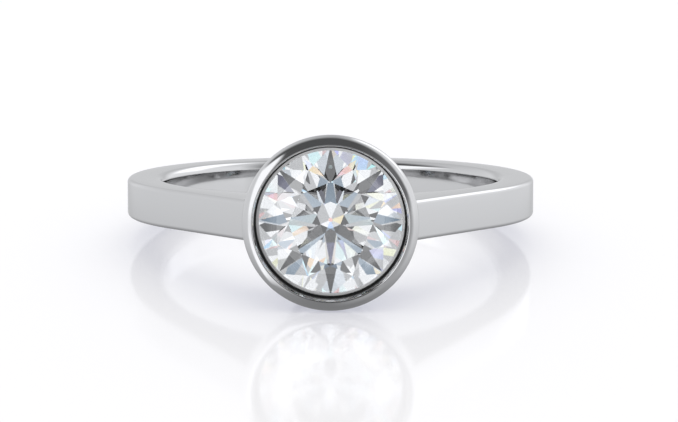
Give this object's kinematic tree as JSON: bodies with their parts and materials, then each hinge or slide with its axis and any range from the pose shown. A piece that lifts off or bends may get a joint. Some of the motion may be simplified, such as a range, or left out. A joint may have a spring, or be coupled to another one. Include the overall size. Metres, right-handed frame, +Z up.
{
  "type": "bezel set ring",
  "caption": "Finger ring with a plain squared band, straight shoulders and a round bezel cup that holds a round brilliant cut stone, lying on its side.",
  "frame": {"origin": "middle of the ring's outline seen from above, on the surface that the ring lies on", "axes": "+Z up from the surface, +Y from the stone to the back of the band, +X to the right seen from the stone's side"},
  "size_m": [0.02, 0.023, 0.0081],
  "materials": {
    "white_metal": "polished white gold",
    "clear_stone": "polished facets"
  },
  "bodies": {
    "root": {"setting": "white_metal", "stone": "clear_stone"}
  },
  "joints": []
}
